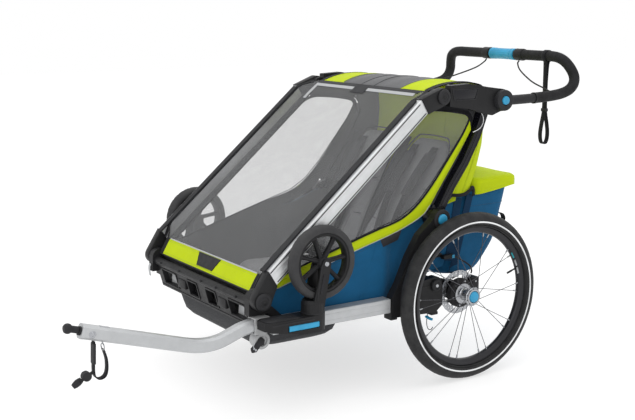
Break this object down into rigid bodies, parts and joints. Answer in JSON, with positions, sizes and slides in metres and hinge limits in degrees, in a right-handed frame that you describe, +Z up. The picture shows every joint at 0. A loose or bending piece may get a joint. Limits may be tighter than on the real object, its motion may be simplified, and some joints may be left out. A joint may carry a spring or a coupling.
{
  "type": "child bicycle trailer",
  "caption": "Folding enclosed child trailer with aluminium frame, fabric cabin, spoked wheels, stowed front casters, push bar, rear bag and tow arm.",
  "frame": {"origin": "on the ground under the middle of the bounding box", "axes": "+Z up, +Y to the rear (push bar), -Y the tow end, +X the trailer's left side"},
  "size_m": [0.8, 1.7097, 0.9514],
  "materials": {
    "aluminium": "satin anodised",
    "frame_plastic": "fine grained moulding",
    "running_gear_black": "powder coat",
    "cable_black": "smooth housing",
    "receiver_grey": "satin",
    "accent_blue": "satin",
    "tyre": "rubber",
    "rim_black": "black anodised",
    "hub_steel": "brushed",
    "grip_foam": "foam",
    "blue_fabric": "coated woven polyester",
    "lime_fabric": "coated woven polyester",
    "roof_fabric": "coated woven polyester",
    "seat_fabric": "padded woven polyester",
    "window_film": "tinted translucent film",
    "webbing": "woven webbing"
  },
  "bodies": {
    "base": {"side_rail_left": "aluminium", "side_rail_right": "aluminium", "front_bumper": "frame_plastic", "rear_beam": "running_gear_black", "rear_post_left": "frame_plastic", "rear_post_right": "frame_plastic", "wheel_bracket_left": "frame_plastic", "wheel_bracket_right": "frame_plastic", "lower_body": "blue_fabric", "footwell": "roof_fabric", "seat_cushion": "seat_fabric", "seat_back": "seat_fabric", "side_window_left": "window_film", "side_window_right": "window_film", "back_panel": "lime_fabric", "cargo_bag": "blue_fabric", "hitch_receiver": "receiver_grey", "brake_cable_left": "cable_black", "brake_cable_right": "cable_black"},
    "front_frame": {"frame_tube_left": "aluminium", "frame_tube_right": "aluminium"},
    "front_cover": {"front_cover": "window_film"},
    "top_frame": {"side_plate_left": "frame_plastic", "side_plate_right": "frame_plastic", "roof": "roof_fabric"},
    "uprights": {"upright_left": "frame_plastic", "upright_right": "frame_plastic"},
    "push_bar": {"push_bar": "grip_foam", "push_bar_cable_left": "cable_black", "push_bar_cable_right": "cable_black", "wrist_strap": "webbing"},
    "brake_grip": {"brake_grip": "accent_blue"},
    "bag_lid": {"bag_lid": "lime_fabric"},
    "hitch_arm": {"hitch_arm": "aluminium", "hitch_ball": "frame_plastic", "hitch_strap": "webbing", "hitch_pin": "frame_plastic"},
    "hitch_lever": {"hitch_lever": "frame_plastic"},
    "suspension_left": {"suspension_arm_left": "running_gear_black"},
    "rear_wheel_left": {"rear_tyre_left": "tyre", "rear_rim_left": "rim_black", "rear_hub_left": "hub_steel", "brake_rotor_left": "hub_steel"},
    "push_bar_button_left": {"push_bar_button_left": "accent_blue"},
    "fold_button_left": {"fold_button_left": "accent_blue"},
    "axle_button_left": {"axle_button_left": "accent_blue"},
    "caster_fork_left": {"caster_fork_left": "frame_plastic"},
    "caster_wheel_left": {"caster_wheel_left": "tyre"},
    "bracket_lever_left": {"bracket_lever_left": "accent_blue"},
    "suspension_right": {"suspension_arm_right": "running_gear_black"},
    "rear_wheel_right": {"rear_tyre_right": "tyre", "rear_rim_right": "rim_black", "rear_hub_right": "hub_steel", "brake_rotor_right": "hub_steel"},
    "push_bar_button_right": {"push_bar_button_right": "accent_blue"},
    "fold_button_right": {"fold_button_right": "accent_blue"},
    "axle_button_right": {"axle_button_right": "accent_blue"},
    "caster_fork_right": {"caster_fork_right": "frame_plastic"},
    "caster_wheel_right": {"caster_wheel_right": "tyre"},
    "bracket_lever_right": {"bracket_lever_right": "accent_blue"}
  },
  "joints": [
    {"name": "frame_fold", "type": "hinge", "parent": "base", "child": "front_frame", "pos_m": [0, -0.32, 0.326], "axis": [-1, 0, 0], "range_deg": [0, 20], "deforming": ["seat_back", "side_window_left", "side_window_right", "back_panel"]},
    {"name": "top_fold", "type": "hinge", "parent": "front_frame", "child": "top_frame", "pos_m": [0, 0.278, 0.836], "axis": [-1, 0, 0], "range_deg": [-42, 0]},
    {"name": "upright_fold", "type": "hinge", "parent": "base", "child": "uprights", "pos_m": [0, 0.281, 0.483], "axis": [-1, 0, 0], "range_deg": [0, 34.5]},
    {"name": "cover_hinge", "type": "hinge", "parent": "front_frame", "child": "front_cover", "pos_m": [0, 0.254, 0.8455], "axis": [1, 0, 0], "range_deg": [-120, 0]},
    {"name": "push_bar_tilt", "type": "hinge", "parent": "top_frame", "child": "push_bar", "pos_m": [0, 0.502, 0.817], "axis": [1, 0, 0], "range_deg": [-30, 50]},
    {"name": "grip_twist", "type": "hinge", "parent": "push_bar", "child": "brake_grip", "pos_m": [0, 0.817, 0.932], "axis": [1, 0, 0], "range_deg": [0, 60], "stiffness_Nm_per_rad": 1, "springref_deg": -17.19},
    {"name": "bag_lid_hinge", "type": "hinge", "parent": "base", "child": "bag_lid", "pos_m": [0, 0.465, 0.56], "axis": [-1, 0, 0], "range_deg": [-60, 0]},
    {"name": "hitch_release", "type": "slide", "parent": "base", "child": "hitch_arm", "axis": [0, -1, 0], "range_m": [0, 0.06]},
    {"name": "hitch_lever_turn", "type": "hinge", "parent": "base", "child": "hitch_lever", "pos_m": [0.327, -0.319, 0.216], "axis": [1, 0, 0], "range_deg": [-50, 0], "stiffness_Nm_per_rad": 0.3, "springref_deg": 28.65},
    {"name": "push_bar_button_press_left", "type": "slide", "parent": "top_frame", "child": "push_bar_button_left", "axis": [-1, 0, 0], "range_m": [0, 0.003], "stiffness_N_per_m": 800, "springref_m": -0.002},
    {"name": "fold_button_press_left", "type": "slide", "parent": "base", "child": "fold_button_left", "axis": [-1, 0, 0], "range_m": [0, 0.004], "stiffness_N_per_m": 800, "springref_m": -0.002},
    {"name": "suspension_travel_left", "type": "hinge", "parent": "base", "child": "suspension_left", "pos_m": [0.3, 0.262, 0.289], "axis": [1, 0, 0], "range_deg": [0, 6], "stiffness_Nm_per_rad": 90, "springref_deg": -11.46, "deforming": ["brake_cable_left"]},
    {"name": "wheel_spin_left", "type": "hinge", "parent": "suspension_left", "child": "rear_wheel_left", "pos_m": [0.373, 0.365, 0.25], "axis": [1, 0, 0], "continuous": true},
    {"name": "axle_button_press_left", "type": "slide", "parent": "rear_wheel_left", "child": "axle_button_left", "axis": [-1, 0, 0], "range_m": [0, 0.004], "stiffness_N_per_m": 600, "springref_m": -0.002},
    {"name": "caster_pull_out_left", "type": "slide", "parent": "base", "child": "caster_fork_left", "axis": [0, 0, 1], "range_m": [0, 0.035]},
    {"name": "caster_spin_left", "type": "hinge", "parent": "caster_fork_left", "child": "caster_wheel_left", "pos_m": [0.367, -0.153, 0.417], "axis": [1, 0, 0], "continuous": true},
    {"name": "bracket_lever_turn_left", "type": "hinge", "parent": "base", "child": "bracket_lever_left", "pos_m": [0.3962, -0.2735, 0.258], "axis": [0, 0, -1], "range_deg": [0, 15], "stiffness_Nm_per_rad": 0.5, "springref_deg": -11.46},
    {"name": "push_bar_button_press_right", "type": "slide", "parent": "top_frame", "child": "push_bar_button_right", "axis": [1, 0, 0], "range_m": [0, 0.003], "stiffness_N_per_m": 800, "springref_m": -0.002},
    {"name": "fold_button_press_right", "type": "slide", "parent": "base", "child": "fold_button_right", "axis": [1, 0, 0], "range_m": [0, 0.004], "stiffness_N_per_m": 800, "springref_m": -0.002},
    {"name": "suspension_travel_right", "type": "hinge", "parent": "base", "child": "suspension_right", "pos_m": [-0.3, 0.262, 0.289], "axis": [1, 0, 0], "range_deg": [0, 6], "stiffness_Nm_per_rad": 90, "springref_deg": -11.46, "deforming": ["brake_cable_right"]},
    {"name": "wheel_spin_right", "type": "hinge", "parent": "suspension_right", "child": "rear_wheel_right", "pos_m": [-0.373, 0.365, 0.25], "axis": [1, 0, 0], "continuous": true},
    {"name": "axle_button_press_right", "type": "slide", "parent": "rear_wheel_right", "child": "axle_button_right", "axis": [1, 0, 0], "range_m": [0, 0.004], "stiffness_N_per_m": 600, "springref_m": -0.002},
    {"name": "caster_pull_out_right", "type": "slide", "parent": "base", "child": "caster_fork_right", "axis": [0, 0, 1], "range_m": [0, 0.035]},
    {"name": "caster_spin_right", "type": "hinge", "parent": "caster_fork_right", "child": "caster_wheel_right", "pos_m": [-0.367, -0.153, 0.417], "axis": [1, 0, 0], "continuous": true},
    {"name": "bracket_lever_turn_right", "type": "hinge", "parent": "base", "child": "bracket_lever_right", "pos_m": [-0.3962, -0.2735, 0.258], "axis": [0, 0, 1], "range_deg": [0, 15], "stiffness_Nm_per_rad": 0.5, "springref_deg": -11.46}
  ],
  "couplings": [
    {"joint": "top_fold", "follows": "frame_fold", "ratio": -2.097},
    {"joint": "upright_fold", "follows": "frame_fold", "ratio": 1.718}
  ]
}
